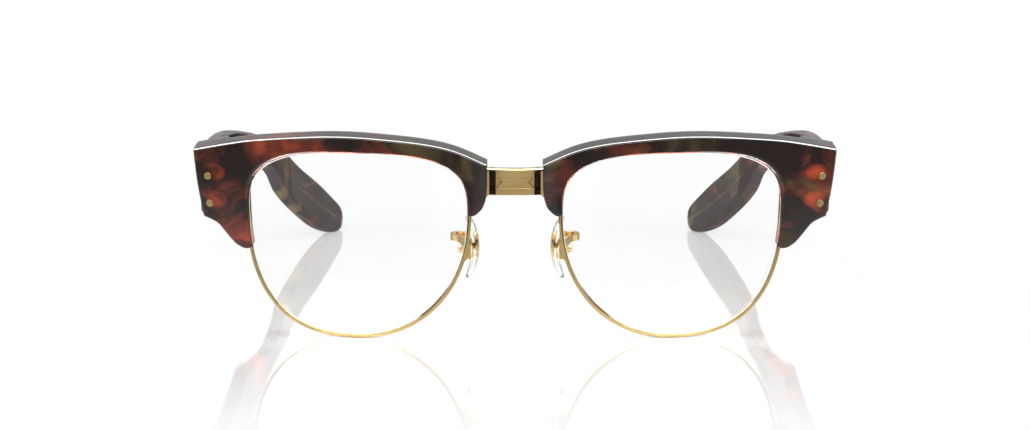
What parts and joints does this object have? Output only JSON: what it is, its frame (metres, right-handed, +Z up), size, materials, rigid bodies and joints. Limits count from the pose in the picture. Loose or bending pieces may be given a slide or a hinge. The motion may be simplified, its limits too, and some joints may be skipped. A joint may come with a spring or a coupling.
{
  "type": "browline spectacles",
  "caption": "Browline spectacles: acetate brows over metal eyewires with clear lenses, metal bridge, folding temples and rocking nose pads.",
  "frame": {"origin": "middle of the footprint, on the surface that the rims and the ear tips stand on", "axes": "+X towards the wearer's left, +Y from the front back along the temples, +Z up"},
  "size_m": [0.154, 0.1586, 0.0495],
  "materials": {
    "tortoise_acetate": "polished dark tortoiseshell cellulose acetate with red-brown patches",
    "gold_metal": "pale gold plated metal, polished with a fine satin grain",
    "screw_steel": "small gold-toned machine screws",
    "core_wire_metal": "drawn wire inside the temple",
    "clear_lens": "clear, uncoloured, polished",
    "silicone": "clear soft silicone"
  },
  "bodies": {
    "front": {"left_brow": "tortoise_acetate", "right_brow": "tortoise_acetate", "left_eyewire": "gold_metal", "right_eyewire": "gold_metal", "left_lens": "clear_lens", "right_lens": "clear_lens", "bridge": "gold_metal", "brow_screws": "screw_steel", "left_lock_upper": "gold_metal", "right_lock_upper": "gold_metal", "left_lock_lower": "gold_metal", "right_lock_lower": "gold_metal", "lock_screws": "screw_steel", "left_pad_arm": "gold_metal", "right_pad_arm": "gold_metal", "pad_screws": "screw_steel", "left_front_leaf": "gold_metal", "right_front_leaf": "gold_metal", "front_rivets": "gold_metal", "hinge_screws": "screw_steel"},
    "left_temple": {"left_temple": "tortoise_acetate", "left_core_wire": "core_wire_metal", "left_temple_leaf": "gold_metal", "left_temple_rivets": "gold_metal"},
    "right_temple": {"right_temple": "tortoise_acetate", "right_core_wire": "core_wire_metal", "right_temple_leaf": "gold_metal", "right_temple_rivets": "gold_metal"},
    "left_nose_pad": {"left_pad": "silicone", "left_pad_insert": "gold_metal"},
    "right_nose_pad": {"right_pad": "silicone", "right_pad_insert": "gold_metal"}
  },
  "joints": [
    {"name": "left_temple_fold", "type": "hinge", "parent": "front", "child": "left_temple", "pos_m": [0.0702, -0.06129, 0.03633], "axis": [0, 0, 1], "range_deg": [0, 87]},
    {"name": "right_temple_fold", "type": "hinge", "parent": "front", "child": "right_temple", "pos_m": [-0.0702, -0.06129, 0.03633], "axis": [0, 0, -1], "range_deg": [0, 78]},
    {"name": "left_pad_rock", "type": "hinge", "parent": "front", "child": "left_nose_pad", "pos_m": [0.0116, -0.06834, 0.02132], "axis": [1, 0, 0], "range_deg": [-10, 10]},
    {"name": "right_pad_rock", "type": "hinge", "parent": "front", "child": "right_nose_pad", "pos_m": [-0.0116, -0.06834, 0.02132], "axis": [1, 0, 0], "range_deg": [-10, 10]}
  ]
}
